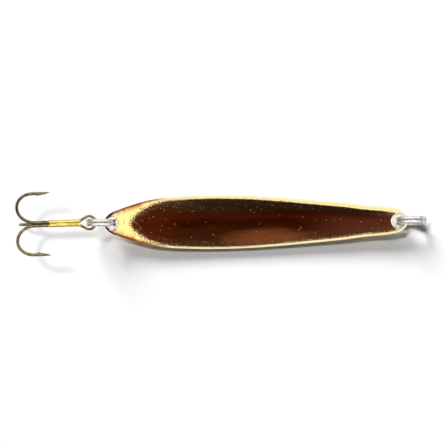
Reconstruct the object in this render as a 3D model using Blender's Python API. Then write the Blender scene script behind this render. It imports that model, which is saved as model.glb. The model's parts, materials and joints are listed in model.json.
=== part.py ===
"""Casting spoon lure: a dished blade, a split ring through each end and a brazed treble hook.

Frame: metres, +X towards the line end, +Z up. The origin lies under the middle of the lure,
on the surface that the blade, the head ring and the lower hook rest on. Sizes below are in
millimetres and are turned into metres where an object is made.
"""

import math

import bmesh
import bpy
from mathutils import Euler, Matrix, Vector

MM = 0.001

# Blade: stations are measured along the blade from its tail end.
BLADE_LENGTH = 88.4
TAIL_X = -34.7
PLATE = 1.4
EDGE_WIDTH = 0.85
EDGE_WIDTH_AT_TAIL = 0.45
EDGE_DROP = 1.05
CREST = 0.12
CREST_AT_HEAD = 0.42
BOWL_DEPTH = 2.3
BOWL_TAIL = 7.8
BOWL_FULL = 20.6
BOWL_HEAD = 85.6
BOWL_HEAD_ROUND = 1.8
LOW_STATION = 38.0
TAIL_RISE = 3.65
HEAD_RISE = 3.2
EDGE_DRAFT = 0.25
TAIL_NOSE_RADIUS = 2.5
HEAD_NOSE_RADIUS = 2.5
HALF_WIDTHS = (
    (2.0, 2.95),
    (4.4, 3.95),
    (13.6, 6.7),
    (25.5, 7.75),
    (37.4, 7.8),
    (58.1, 6.5),
    (70.7, 5.3),
    (77.0, 4.5),
    (83.3, 3.85),
    (86.0, 3.2),
)
ALONG_CELLS = 60
BOWL_CELLS = 6
BORDER_CELLS = 1
EDGE_CELLS = 1
ACROSS_CELLS = 2 * (BOWL_CELLS + BORDER_CELLS + EDGE_CELLS)
TAIL_HOLE = {"station": 2.5, "radius": 1.7, "countersink": 0.15}
HEAD_HOLE = {"station": 85.7, "radius": 1.9, "countersink": 0.35}
DRILL_LENGTH = 12.0

# Split rings: one flat-sided wire wound in two turns.
RING_OUTER = 4.4
RING_RADIAL = 0.9
RING_AXIAL = 1.05
RING_TURN_GAP = 0.1
RING_CHAMFER = 0.2
RING_STEP_DEG = 36.0
RING_END_GAP_DEG = 4.0
TAIL_RING_OUT = 0.97
TAIL_RING_UP = 2.1
TAIL_RING_Y = 0.15
HEAD_RING_OUT = 1.41

# Treble hook: u runs from the eye's centre towards the bends, r away from the shank's axis.
WIRE = 0.9
EYE_WIRE = 0.75
EYE_INNER = 1.5
WIRE_FROM_AXIS = 0.55
NECK_U = 2.9
SINGLE_START_U = 3.4
BEND_U = 15.7
BEND_RADIUS = 4.75
TIP_U = 10.6
BARB_U = 14.6
BARB_LENGTH = 1.4
BARB_RISE = 0.42
HOOK_ANGLES_DEG = {"left": 30.0, "right": 150.0, "lower": 270.0}
TREBLE_YAW_DEG = 1.3
BRAZE_FROM_U = 3.8
BRAZE_TO_U = 11.7
BRAZE_COAT = 0.12
BRAZE_GAP = 0.04
BRAZE_GROOVE_R = 0.66


# ---------------------------------------------------------------- shared helpers


def clear_scene():
    for item in list(bpy.data.objects):
        bpy.data.objects.remove(item, do_unlink=True)


def new_collection(name):
    made = bpy.data.collections.new(name)
    bpy.context.scene.collection.children.link(made)
    return made


def new_object(name, data, collection, material=None):
    made = bpy.data.objects.new(name, data)
    collection.objects.link(made)
    if material is not None:
        data.materials.append(material)
    return made


def new_material(name, color, roughness, metallic=1.0):
    made = bpy.data.materials.new(name)
    made.use_nodes = True
    shader = made.node_tree.nodes["Principled BSDF"]
    shader.inputs["Base Color"].default_value = (*color, 1.0)
    shader.inputs["Roughness"].default_value = roughness
    shader.inputs["Metallic"].default_value = metallic
    made.diffuse_color = (*color, 1.0)
    return made


def new_pivot(name, place, collection, yaw_deg=0.0):
    """An empty on a joint's axis, which the pieces that turn there are parented to."""
    pivot = new_object(name, None, collection)
    pivot.location = place * MM
    pivot.rotation_euler = Euler((0.0, 0.0, math.radians(yaw_deg)))
    return pivot


def finish_mesh(bm, name, smooth_deg=35.0):
    bmesh.ops.recalc_face_normals(bm, faces=bm.faces)
    mesh = bpy.data.meshes.new(name)
    bm.to_mesh(mesh)
    bm.free()
    mesh.shade_smooth()
    mesh.set_sharp_from_angle(angle=math.radians(smooth_deg))
    return mesh


def add_boolean(target, cutter, operation="DIFFERENCE"):
    cut = target.modifiers.new(cutter.name, "BOOLEAN")
    cut.object = cutter
    cut.operation = operation
    cutter.hide_render = True
    cutter.display_type = "WIRE"


def smooth_step(low, high, value):
    t = min(max((value - low) / (high - low), 0.0), 1.0)
    return t * t * (3.0 - 2.0 * t)


def smooth_through(points, x):
    """Cubic curve through the points, with the slope at each taken from its neighbours."""
    last = len(points) - 1
    i = 0
    while i < last - 1 and x > points[i + 1][0]:
        i += 1

    def slope(k):
        before, after = points[max(k - 1, 0)], points[min(k + 1, last)]
        return (after[1] - before[1]) / (after[0] - before[0])

    (x0, y0), (x1, y1) = points[i], points[i + 1]
    span = x1 - x0
    t = (x - x0) / span
    rise = y0 * (1.0 + 2.0 * t) * (1.0 - t) ** 2 + y1 * t * t * (3.0 - 2.0 * t)
    return rise + span * (slope(i) * t * (1.0 - t) ** 2 - slope(i + 1) * t * t * (1.0 - t))


# ---------------------------------------------------------------- blade


def fullness_points():
    """How full the outline is against s * (L - s), which makes both ends come out round."""
    points = [(0.0, 2.0 * TAIL_NOSE_RADIUS / BLADE_LENGTH)]
    for station, half in HALF_WIDTHS:
        points.append((station, half * half / (station * (BLADE_LENGTH - station))))
    points.append((BLADE_LENGTH, 2.0 * HEAD_NOSE_RADIUS / BLADE_LENGTH))
    return points


FULLNESS = fullness_points()


def half_width(station):
    room = max(station * (BLADE_LENGTH - station), 0.0)
    return math.sqrt(smooth_through(FULLNESS, station) * room)


def crest_half_width(station):
    """Half width inside the slanted edge face, which is narrower round the tail."""
    edge = EDGE_WIDTH_AT_TAIL
    edge += (EDGE_WIDTH - EDGE_WIDTH_AT_TAIL) * smooth_step(2.0, BOWL_FULL, station)
    outer = half_width(station)
    return max(outer - edge, 0.5 * outer)


def crest_width(station):
    """Width of the flat crest between the bowl and the slanted edge face."""
    return CREST + (CREST_AT_HEAD - CREST) * smooth_step(35.0, 68.0, station)


def bowl_half_width(station):
    """Half width of the dished part, with a rounded end at the tail and at the head."""
    if station <= BOWL_TAIL or station >= BOWL_HEAD:
        return 0.0
    tail = min((station - BOWL_TAIL) / (BOWL_FULL - BOWL_TAIL), 1.0)
    head = min((BOWL_HEAD - station) / BOWL_HEAD_ROUND, 1.0)
    rounding = math.sqrt((1.0 - (1.0 - tail) ** 2.4) * (1.0 - (1.0 - head) ** 2.4))
    return (crest_half_width(station) - crest_width(station)) * rounding


def bowl_depth(station):
    """Depth of the bowl on the centre line, shallow at both ends."""
    run_in = smooth_step(BOWL_TAIL - 3.0, BOWL_TAIL + 28.0, station)
    run_out = 1.0 - smooth_step(BOWL_HEAD - 10.0, BOWL_HEAD + 1.0, station)
    slope = BOWL_DEPTH / crest_half_width(LOW_STATION)
    return slope * crest_half_width(station) * run_in * run_out


def land_height(station):
    """Height of the blade's flat border, which rises towards both ends."""
    middle = PLATE + BOWL_DEPTH
    if station < LOW_STATION:
        return middle + TAIL_RISE * ((LOW_STATION - station) / LOW_STATION) ** 2
    along = (station - LOW_STATION) / (BLADE_LENGTH - LOW_STATION)
    return middle + HEAD_RISE * along**2


def land_slope(station):
    return land_height(station + 0.5) - land_height(station - 0.5)


def top_point(along, across):
    """A point of the upper face; along runs 0 to 1 and across runs -1 to 1.

    Across, the face is the bowl, then the flat border, then the slanted edge face.
    """
    station = BLADE_LENGTH * (1.0 - math.cos(math.pi * along)) / 2.0
    outer = half_width(station)
    crest = crest_half_width(station)
    bowl = bowl_half_width(station)
    crease = max(bowl, 0.5 * crest)
    share = abs(across) * ACROSS_CELLS / 2.0
    z = land_height(station)
    if share <= BOWL_CELLS:
        y = crease * share / BOWL_CELLS
    elif share <= BOWL_CELLS + BORDER_CELLS:
        y = crease + (crest - crease) * (share - BOWL_CELLS) / BORDER_CELLS
    else:
        out = (share - BOWL_CELLS - BORDER_CELLS) / EDGE_CELLS
        y = crest + (outer - crest) * out
        z -= EDGE_DROP * out * (outer - crest) / EDGE_WIDTH
    if y < bowl:
        z -= bowl_depth(station) * (1.0 - (y / bowl) ** 2)
    return Vector((TAIL_X + station, math.copysign(y, across), z))


def bottom_point(along, across):
    """A point of the lower face, which is drawn in a little from the outline."""
    share = (1.0 - math.cos(math.pi * along)) / 2.0
    station = EDGE_DRAFT + (BLADE_LENGTH - 2.0 * EDGE_DRAFT) * share
    y = across * max(half_width(station) - EDGE_DRAFT, 0.0)
    z = land_height(station) - PLATE - bowl_depth(station) * (1.0 - across**2)
    return Vector((TAIL_X + station, y, z))


def add_face_sheet(bm, point):
    """A grid whose points are moved onto one face of the blade."""
    made = bmesh.ops.create_grid(
        bm, x_segments=ALONG_CELLS, y_segments=ACROSS_CELLS, size=1.0
    )
    for vertex in made["verts"]:
        along = min(max((vertex.co.x + 1.0) / 2.0, 0.0), 1.0)
        vertex.co = point(along, vertex.co.y) * MM


def make_hole_cutters(name, hole, collection):
    """A drill and a countersink, both square to the plate at the hole's centre."""
    tilt = -math.atan(land_slope(hole["station"]))
    radius, sink = hole["radius"], hole["countersink"]
    shapes = (
        (name + "_drill", radius, radius, DRILL_LENGTH),
        (name + "_countersink", radius - sink, radius + 3.0 * sink, 4.0 * sink),
    )
    made = []
    for cutter_name, low_radius, high_radius, depth in shapes:
        bm = bmesh.new()
        bmesh.ops.create_cone(
            bm,
            cap_ends=True,
            segments=32,
            radius1=low_radius * MM,
            radius2=high_radius * MM,
            depth=depth * MM,
        )
        cutter = new_object(cutter_name, finish_mesh(bm, cutter_name), collection)
        top = land_height(hole["station"])
        cutter.location = Vector((TAIL_X + hole["station"], 0.0, top)) * MM
        cutter.rotation_euler = Euler((0.0, tilt, 0.0))
        made.append(cutter)
    return made


def make_blade(collection, cutters, material):
    bm = bmesh.new()
    add_face_sheet(bm, top_point)
    add_face_sheet(bm, bottom_point)
    bmesh.ops.remove_doubles(bm, verts=bm.verts, dist=1e-7)
    border = [edge for edge in bm.edges if edge.is_boundary]
    bmesh.ops.bridge_loops(bm, edges=border)
    bmesh.ops.triangulate(bm, faces=bm.faces)
    blade = new_object("blade", finish_mesh(bm, "blade"), collection, material)
    for name, hole in (("tail_hole", TAIL_HOLE), ("head_hole", HEAD_HOLE)):
        for cutter in make_hole_cutters(name, hole, cutters):
            add_boolean(blade, cutter)
    return blade


def rim_centre(station_of_end, hole):
    """Middle of the bar of metal between a hole and the blade's end."""
    outward = 1.0 if station_of_end > hole["station"] else -1.0
    edge = hole["station"] + outward * hole["radius"]
    station = (edge + station_of_end) / 2.0
    return Vector((TAIL_X + station, 0.0, land_height(station) - PLATE / 2.0))


# ---------------------------------------------------------------- split rings


def add_ring_section(bm, start_deg):
    """The wire's section, a rectangle with its corners taken off, on the first turn."""
    middle = RING_OUTER - RING_RADIAL / 2.0
    first_turn_y = (RING_AXIAL + RING_TURN_GAP) / 2.0
    half_r, half_a, cut = RING_RADIAL / 2.0, RING_AXIAL / 2.0, RING_CHAMFER
    corners = []
    for side_r, side_a in ((1, 1), (-1, 1), (-1, -1), (1, -1)):
        flat = (side_r * half_r, side_a * (half_a - cut))
        round_off = (side_r * (half_r - cut), side_a * half_a)
        corners += [flat, round_off] if side_r * side_a > 0 else [round_off, flat]
    turn = Matrix.Rotation(math.radians(start_deg), 3, "Y")
    verts = []
    for radial, axial in corners:
        place = Vector((middle + radial, first_turn_y + axial, 0.0))
        verts.append(bm.verts.new((turn @ place) * MM))
    edges = [bm.edges.new((verts[i - 1], verts[i])) for i in range(len(verts))]
    return verts + edges


def make_split_ring(name, pivot, offset, step_deg, collection, material):
    """Two flat turns joined by a step; step_deg is the angle about +Y where the step lies."""
    half_step = RING_STEP_DEG / 2.0
    first = 360.0 - RING_STEP_DEG - RING_END_GAP_DEG
    shift = RING_AXIAL + RING_TURN_GAP
    bm = bmesh.new()
    section = add_ring_section(bm, step_deg + half_step + RING_END_GAP_DEG)
    for sweep_deg, sideways in ((first, 0.0), (RING_STEP_DEG, -shift), (first, 0.0)):
        steps = round(sweep_deg / 7.5)
        swept = bmesh.ops.spin(
            bm,
            geom=section,
            cent=(0.0, 0.0, 0.0),
            axis=(0.0, 1.0, 0.0),
            dvec=(0.0, sideways / steps * MM, 0.0),
            angle=math.radians(sweep_deg),
            steps=steps,
        )
        section = swept["geom_last"]
    ends = [edge for edge in bm.edges if edge.is_boundary]
    bmesh.ops.holes_fill(bm, edges=ends, sides=0)
    ring = new_object(name, finish_mesh(bm, name), collection, material)
    ring.parent = pivot
    ring.location = offset * MM
    return ring


# ---------------------------------------------------------------- treble hook


def hook_profile():
    """Points (u, r, wire radius) of one hook, from the shank round the bend to its point."""
    full = WIRE / 2.0
    points = [(BEND_U - 5.0, WIRE_FROM_AXIS, full)]
    arc_steps = 16
    for i in range(arc_steps + 1):
        angle = math.pi * i / arc_steps
        u = BEND_U + BEND_RADIUS * math.sin(angle)
        r = WIRE_FROM_AXIS + BEND_RADIUS * (1.0 - math.cos(angle))
        points.append((u, r, full))
    arm_outer = WIRE_FROM_AXIS + 2.0 * BEND_RADIUS + full
    for share, radius in ((0.22, 1.0), (0.5, 0.78), (0.8, 0.38), (1.0, 0.06)):
        u = BEND_U + (TIP_U - BEND_U) * share
        points.append((u, arm_outer - radius * full, radius * full))
    return points


def around_axis(u, r, angle_deg):
    angle = math.radians(angle_deg)
    return Vector((-u, r * math.cos(angle), r * math.sin(angle)))


def eye_points():
    """The eye's loop from one leg to the other, flat, with straight runs into the neck."""
    loop = EYE_INNER + EYE_WIRE / 2.0
    leg = Vector((NECK_U, WIRE_FROM_AXIS * math.cos(math.radians(30.0))))
    tangent = math.atan2(leg.y, leg.x) + math.acos(loop / leg.length)
    height = WIRE_FROM_AXIS * math.sin(math.radians(30.0))
    steps = 18
    points = []
    for i in range(steps + 1):
        angle = tangent + (2.0 * math.pi - 2.0 * tangent) * i / steps
        place = Vector((-loop * math.cos(angle), loop * math.sin(angle), height))
        points.append((place, EYE_WIRE / 2.0))
    return points


def leg_points(side):
    """The neck's soft corner and the straight leg, from the eye outwards."""
    y = side * WIRE_FROM_AXIS * math.cos(math.radians(30.0))
    height = WIRE_FROM_AXIS * math.sin(math.radians(30.0))
    entry = eye_points()[0][0]
    entry.y *= side
    corner = Vector((-NECK_U, y, height))
    leg_end = Vector((-NECK_U - 0.8, y, height))
    before = corner + (entry - corner).normalized() * 0.8
    points = []
    for t in (0.0, 0.33, 0.67, 1.0):
        bend = before * (1.0 - t) ** 2 + corner * 2.0 * t * (1.0 - t) + leg_end * t * t
        radius = EYE_WIRE / 2.0 + (WIRE - EYE_WIRE) / 2.0 * t
        points.append((bend, radius))
    return points


def wire_mesh(name, points):
    """A tube through the points, each with its own radius, as a closed mesh."""
    curve = bpy.data.curves.new(name, "CURVE")
    curve.dimensions = "3D"
    curve.bevel_depth = WIRE / 2.0 * MM
    curve.bevel_resolution = 2
    curve.use_fill_caps = True
    spline = curve.splines.new("POLY")
    spline.points.add(len(points) - 1)
    for target, (place, radius) in zip(spline.points, points):
        target.co = (*(place * MM), 1.0)
        target.radius = radius / (WIRE / 2.0)
    guide = bpy.data.objects.new(name + "_guide", curve)
    bpy.context.scene.collection.objects.link(guide)
    bpy.context.view_layer.update()
    evaluated = guide.evaluated_get(bpy.context.evaluated_depsgraph_get())
    mesh = bpy.data.meshes.new_from_object(evaluated)
    bpy.data.objects.remove(guide, do_unlink=True)
    bpy.data.curves.remove(curve)
    bm = bmesh.new()
    bm.from_mesh(mesh)
    bmesh.ops.remove_doubles(bm, verts=bm.verts, dist=1e-7)
    bpy.data.meshes.remove(mesh)
    return finish_mesh(bm, name, smooth_deg=60.0)


def make_barb(name, angle_deg, collection):
    """A spike raised from the inner side of a hook's arm, pointing back to the bend."""
    arm = WIRE_FROM_AXIS + 2.0 * BEND_RADIUS
    root = around_axis(BARB_U - BARB_LENGTH, arm + 0.02, angle_deg)
    point = around_axis(BARB_U, arm - WIRE / 2.0 - BARB_RISE, angle_deg)
    bm = bmesh.new()
    bmesh.ops.create_cone(
        bm,
        cap_ends=True,
        segments=8,
        radius1=0.3 * MM,
        radius2=0.03 * MM,
        depth=(point - root).length * MM,
    )
    barb = new_object(name, finish_mesh(bm, name), collection)
    barb.rotation_mode = "QUATERNION"
    barb.rotation_quaternion = (point - root).to_track_quat("Z", "Y")
    barb.location = (root + point) / 2.0 * MM
    return barb


def hook_path(angle_deg):
    return [(around_axis(u, r, angle_deg), radius) for u, r, radius in hook_profile()]


def make_double_hook(pivot, offset, collection, cutters, material):
    left, right = HOOK_ANGLES_DEG["left"], HOOK_ANGLES_DEG["right"]
    points = hook_path(left)[::-1]
    points += leg_points(1.0)[::-1]
    points += eye_points()[1:-1]
    points += leg_points(-1.0)
    points += hook_path(right)
    wire = new_object(
        "double_hook_wire", wire_mesh("double_hook_wire", points), collection, material
    )
    for name, angle in (("left_barb", left), ("right_barb", right)):
        barb = make_barb(name, angle, cutters)
        add_boolean(wire, barb, "UNION")
        place_on_pivot(barb, pivot, offset)
    place_on_pivot(wire, pivot, offset)
    return wire


def make_single_hook(pivot, offset, collection, cutters, material):
    angle = HOOK_ANGLES_DEG["lower"]
    start = around_axis(SINGLE_START_U, WIRE_FROM_AXIS, angle)
    points = [(start, WIRE / 2.0)] + hook_path(angle)
    wire = new_object(
        "single_hook_wire", wire_mesh("single_hook_wire", points), collection, material
    )
    barb = make_barb("lower_barb", angle, cutters)
    add_boolean(wire, barb, "UNION")
    place_on_pivot(barb, pivot, offset)
    place_on_pivot(wire, pivot, offset)
    return wire


def place_on_pivot(item, pivot, offset):
    item.parent = pivot
    item.location += offset * MM


def bundle_outline(wire_radius, groove_radius):
    """Points round the three wires: each wire's own circle, and the groove between them."""
    points = []
    steps = 60
    for i in range(steps):
        angle = 360.0 * i / steps
        radius = groove_radius
        for wire_angle in HOOK_ANGLES_DEG.values():
            off = math.radians(angle - wire_angle)
            inside = wire_radius**2 - (WIRE_FROM_AXIS * math.sin(off)) ** 2
            if math.cos(off) > 0.0 and inside > 0.0:
                far = WIRE_FROM_AXIS * math.cos(off) + math.sqrt(inside)
                radius = max(radius, far)
        turn = math.radians(angle)
        points.append((radius * math.cos(turn), radius * math.sin(turn)))
    return points


def make_braze(pivot, offset, collection, material):
    """The brass that coats the three shanks and fills the grooves between them."""
    curve = bpy.data.curves.new("brass_braze", "CURVE")
    curve.dimensions = "2D"
    curve.fill_mode = "BOTH"
    curve.extrude = (BRAZE_TO_U - BRAZE_FROM_U) / 2.0 * MM
    outlines = (
        bundle_outline(WIRE / 2.0 + BRAZE_COAT, BRAZE_GROOVE_R),
        bundle_outline(WIRE / 2.0 + BRAZE_GAP, 0.1),
    )
    for outline in outlines:
        spline = curve.splines.new("POLY")
        spline.points.add(len(outline) - 1)
        spline.use_cyclic_u = True
        for target, (y, z) in zip(spline.points, outline):
            target.co = (y * MM, z * MM, 0.0, 1.0)
    braze = new_object("brass_braze", curve, collection, material)
    braze.rotation_euler = Euler((math.pi / 2.0, 0.0, math.pi / 2.0))
    braze.location = Vector((-(BRAZE_FROM_U + BRAZE_TO_U) / 2.0, 0.0, 0.0)) * MM
    place_on_pivot(braze, pivot, offset)
    return braze


# ---------------------------------------------------------------- assembly


def make_head_ring(collection, material):
    rim = rim_centre(BLADE_LENGTH, HEAD_HOLE)
    pivot = new_pivot("head_ring_pivot", rim, collection)
    offset = Vector((HEAD_RING_OUT, 0.0, RING_OUTER - rim.z))
    make_split_ring("head_split_ring", pivot, offset, 0.0, collection, material)


def make_tail_ring(collection, material):
    """The tail ring, and the place of the treble's eye on its far side."""
    rim = rim_centre(0.0, TAIL_HOLE)
    pivot = new_pivot("tail_ring_pivot", rim, collection)
    offset = Vector((-TAIL_RING_OUT, TAIL_RING_Y, TAIL_RING_UP))
    make_split_ring("tail_split_ring", pivot, offset, 90.0, collection, material)
    return rim + offset


def make_treble(ring_centre, collection, cutters, wire_material, braze_material):
    axis_height = WIRE_FROM_AXIS + 2.0 * BEND_RADIUS + WIRE / 2.0
    eye_lift = WIRE_FROM_AXIS * math.sin(math.radians(30.0))
    ring_middle = RING_OUTER - RING_RADIAL / 2.0
    above = axis_height + eye_lift - ring_centre.z
    eye = Vector((
        ring_centre.x - math.sqrt(ring_middle**2 - above**2),
        ring_centre.y,
        axis_height + eye_lift,
    ))
    pivot = new_pivot("treble_pivot", eye, collection, TREBLE_YAW_DEG)
    offset = Vector((0.0, 0.0, -eye_lift))
    make_double_hook(pivot, offset, collection, cutters, wire_material)
    make_single_hook(pivot, offset, collection, cutters, wire_material)
    make_braze(pivot, offset, collection, braze_material)


def main():
    clear_scene()
    lure = new_collection("spoon_lure")
    cutters = new_collection("cutters")
    gilt = new_material("gilt_brass", (0.83, 0.58, 0.22), 0.22)
    steel = new_material("nickel_steel", (0.72, 0.71, 0.68), 0.2)
    bronze = new_material("bronzed_steel", (0.2, 0.15, 0.08), 0.35)
    brass = new_material("braze_brass", (0.8, 0.6, 0.18), 0.3)
    make_blade(lure, cutters, gilt)
    make_head_ring(lure, steel)
    ring_centre = make_tail_ring(lure, steel)
    make_treble(ring_centre, lure, cutters, bronze, brass)


main()
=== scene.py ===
"""Finished looks of a casting spoon lure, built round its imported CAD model.

Frame: metres, +X towards the line end, +Z up. Sizes written in this file are in millimetres
and are turned into metres by MM. The blade's shape is worked out from the same driving sizes
as the CAD part, and every place comes from the frame's boxes and joints.
"""

import json
import math

import bmesh
import bpy
from mathutils import Matrix, Vector


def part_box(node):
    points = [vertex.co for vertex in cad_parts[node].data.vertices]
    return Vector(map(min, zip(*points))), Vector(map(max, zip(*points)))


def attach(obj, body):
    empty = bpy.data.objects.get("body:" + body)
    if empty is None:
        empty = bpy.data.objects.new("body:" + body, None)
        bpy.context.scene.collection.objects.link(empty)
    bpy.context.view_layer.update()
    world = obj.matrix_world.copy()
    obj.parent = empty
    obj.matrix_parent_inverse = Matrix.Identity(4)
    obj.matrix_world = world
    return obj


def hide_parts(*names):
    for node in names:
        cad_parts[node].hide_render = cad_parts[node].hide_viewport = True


bl_info = {
    "name": "Casting Spoon Lure",
    "version": (1, 0, 0),
    "blender": (4, 5, 0),
    "location": "View3D > Sidebar > Lure",
    "description": "Builds the blade, split rings and treble hook of a casting spoon lure",
    "category": "Add Mesh",
}

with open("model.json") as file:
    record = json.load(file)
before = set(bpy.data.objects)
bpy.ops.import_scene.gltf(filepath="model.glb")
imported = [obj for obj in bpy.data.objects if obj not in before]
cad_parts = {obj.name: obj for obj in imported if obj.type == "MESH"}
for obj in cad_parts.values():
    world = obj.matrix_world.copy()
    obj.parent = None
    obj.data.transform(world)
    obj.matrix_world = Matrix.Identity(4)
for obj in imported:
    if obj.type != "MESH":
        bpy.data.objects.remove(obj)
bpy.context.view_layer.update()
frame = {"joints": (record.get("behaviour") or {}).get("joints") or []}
JOINTS = {joint["name"]: joint for joint in frame["joints"]}

MM = 0.001
UP = Vector((0.0, 0.0, 1.0))

# Blade, in millimetres; stations are measured along it from its tail end.
BLADE_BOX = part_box("blade")
TAIL_X = BLADE_BOX[0].x / MM
BLADE_LENGTH = (BLADE_BOX[1].x - BLADE_BOX[0].x) / MM
PLATE = 1.4
EDGE_WIDTH = 0.85
EDGE_WIDTH_AT_TAIL = 0.45
EDGE_DROP = 1.05
CREST = 0.12
CREST_AT_HEAD = 0.42
BOWL_DEPTH = 2.3
BOWL_TAIL = 7.8
BOWL_FULL = 20.6
BOWL_HEAD = 85.6
BOWL_HEAD_ROUND = 1.8
BOWL_ROUNDING = 2.4
LOW_STATION = 38.0
TAIL_RISE = 3.65
HEAD_RISE = 3.2
EDGE_DRAFT = 0.25
TAIL_NOSE_RADIUS = 2.5
HEAD_NOSE_RADIUS = 2.5
HALF_WIDTHS = (
    (2.0, 2.95), (4.4, 3.95), (13.6, 6.7), (25.5, 7.75), (37.4, 7.8),
    (58.1, 6.5), (70.7, 5.3), (77.0, 4.5), (83.3, 3.85), (86.0, 3.2),
)
TAIL_HOLE = {"station": 2.5, "radius": 1.7, "countersink": 0.15}
HEAD_HOLE = {"station": 85.7, "radius": 1.9, "countersink": 0.35}
DRILL_LENGTH = 12.0
LEAST_INSIDE, MOST_INSIDE = -3.0, 6.0
BLADE_ROWS = 320
BOWL_COLUMNS = 20
BACK_COLUMNS = 16

# Treble: u runs from the eye's centre towards the bends, r away from the shank's axis.
EYE_INNER = 1.5
WIRE_FROM_AXIS = 0.55
NECK_U = 2.9
NECK_CORNER = 0.8
SINGLE_START_U = 3.4
BEND_U = 15.7
BEND_RADIUS = 4.75
TIP_U = 10.6
BARB_U = 14.6
# The point: the share of the arm where its taper starts, how much of the wire's thickness it
# takes off, how its taper curves, and how far it keeps to the outer side.
POINT_STEPS = 14
POINT_FROM = 0.42
POINT_FINENESS = 0.94
POINT_CURVE = 1.8
POINT_SET_OUT = 0.7
LEFT_DEG, RIGHT_DEG, LOWER_DEG = 30.0, 150.0, 270.0
TREBLE_YAW_DEG = 1.3
LEG_Y = WIRE_FROM_AXIS * math.cos(math.radians(LEFT_DEG))
LEG_Z = WIRE_FROM_AXIS * math.sin(math.radians(LEFT_DEG))


# ---- settings


def length_setting(label, about, millimetres):
    return bpy.props.FloatProperty(
        name=label,
        description=about,
        default=millimetres * MM,
        min=0.0,
        subtype="DISTANCE",
        unit="LENGTH",
        precision=5,
    )


def colour_setting(label, about, colour):
    return bpy.props.FloatVectorProperty(
        name=label, description=about, default=colour, size=4, min=0.0, max=1.0, subtype="COLOR"
    )


def share_setting(label, about, value):
    return bpy.props.FloatProperty(
        name=label, description=about, default=value, min=0.0, max=1.0, subtype="FACTOR"
    )


class BladeSettings(bpy.types.PropertyGroup):
    gilt: colour_setting("Gilt", "Colour of the polished border and back", (1.0, 0.79, 0.31, 1.0))
    thin_lacquer: colour_setting("Thin lacquer", "Bowl near its head", (0.080, 0.020, 0.0085, 1.0))
    lacquer: colour_setting("Lacquer", "Bowl near its tail", (0.062, 0.0095, 0.0015, 1.0))
    # The copper colour paints a reflection patch in the bowl.
    copper: colour_setting("Worn lacquer", "Patch where it is thinner", (0.175, 0.050, 0.014, 1.0))
    # Lighter gilt on the slanted edge face: a painted highlight.
    rim_highlight_gilt: colour_setting("Rim gilt", "Slanted edge", (1.0, 0.89, 0.52, 1.0))
    blush: colour_setting("Blush", "Orange tint beside the stain", (0.72, 0.34, 0.10, 1.0))
    # Red-brown towards the outer edge near the tail, and a thin painted shade line along the whole
    # outline.
    edge_tint_and_shade: colour_setting("Tarnish", "Red-brown stain round the tail", (0.30, 0.065, 0.02, 1.0))
    border_gloss: share_setting("Border roughness", "Roughness of the gilt border", 0.14)
    bowl_gloss: share_setting("Bowl roughness", "Roughness of the bowl", 0.2)


class RingSettings(bpy.types.PropertyGroup):
    radial: length_setting("Wire depth", "Depth of the ring wire, along the radius", 0.9)
    axial: length_setting("Wire width", "Width of the ring wire, along the axis", 1.08)
    turn_gap: length_setting("Gap between turns", "Clear gap between the two turns", 0.04)
    rounding: length_setting("Edge rounding", "Radius on the wire's long edges", 0.38)
    nickel: colour_setting("Nickel", "Colour of the ring wire", (0.82, 0.81, 0.77, 1.0))


class TrebleSettings(bpy.types.PropertyGroup):
    wire: length_setting("Hook wire", "Diameter of the shanks and bends", 0.9)
    eye_wire: length_setting("Eye wire", "Diameter of the wire round the eye", 0.75)
    barb_length: length_setting("Barb length", "Length of each barb", 1.4)
    barb_rise: length_setting("Barb rise", "How far a barb stands off its hook", 0.42)
    bronze: colour_setting("Bronze", "Lacquered colour of the hook wire", (0.27, 0.225, 0.115, 1.0))
    coat: length_setting("Braze coat", "Thickness of the braze over the wires", 0.12)
    braze: colour_setting("Braze brass", "Colour of the braze", (0.93, 0.72, 0.19, 1.0))


class StageSettings(bpy.types.PropertyGroup):
    floor: colour_setting("Floor", "Colour of the floor", (0.9, 0.9, 0.9, 1.0))
    sun: bpy.props.FloatProperty(
        name="Suns", description="Strength of the two suns together", default=3.25, min=0.0
    )
    softness: bpy.props.FloatProperty(
        name="Softness",
        description="Angle that the low sun spans",
        default=math.radians(24.0),
        subtype="ANGLE",
        unit="ROTATION",
    )


# ---- modelling helpers


def start_fresh():
    """Object mode with nothing selected."""
    if bpy.context.mode != "OBJECT":
        bpy.ops.object.mode_set(mode="OBJECT")
    bpy.ops.object.select_all(action="DESELECT")


def active_only(piece):
    start_fresh()
    piece.select_set(True)
    bpy.context.view_layer.objects.active = piece


def edit_all(piece):
    """Edit mode with every point of the piece selected."""
    active_only(piece)
    bpy.ops.object.mode_set(mode="EDIT")
    bpy.ops.mesh.select_mode(type="VERT")
    bpy.ops.mesh.select_all(action="SELECT")


def select_open_edges():
    bpy.ops.mesh.select_mode(type="EDGE")
    bpy.ops.mesh.select_all(action="DESELECT")
    bpy.ops.mesh.select_non_manifold()


def select_faces(piece, wanted):
    """Selects just the faces that pass the test, in edit mode."""
    bpy.ops.mesh.select_mode(type="FACE")
    shape = bmesh.from_edit_mesh(piece.data)
    for face in shape.faces:
        face.select_set(wanted(face))
    shape.select_flush_mode()
    bmesh.update_edit_mesh(piece.data)


def name_new(name):
    """Names the object that was just added, with its place and turn put into its mesh."""
    piece = bpy.context.object
    piece.name = name
    piece.data.name = name
    bpy.ops.object.transform_apply(location=True, rotation=True, scale=True)
    return piece


def settle(piece, place):
    """Moves a piece to its place and puts that into its mesh."""
    active_only(piece)
    piece.matrix_world = place
    bpy.ops.object.transform_apply(location=True, rotation=True, scale=True)


def close_and_turn_out(piece, merge=1e-7):
    """Merges doubles and points every face outwards."""
    edit_all(piece)
    bpy.ops.mesh.remove_doubles(threshold=merge)
    bpy.ops.mesh.normals_make_consistent(inside=False)
    bpy.ops.object.mode_set(mode="OBJECT")


def shade(piece, degrees):
    active_only(piece)
    bpy.ops.object.shade_smooth_by_angle(angle=math.radians(degrees))


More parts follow.
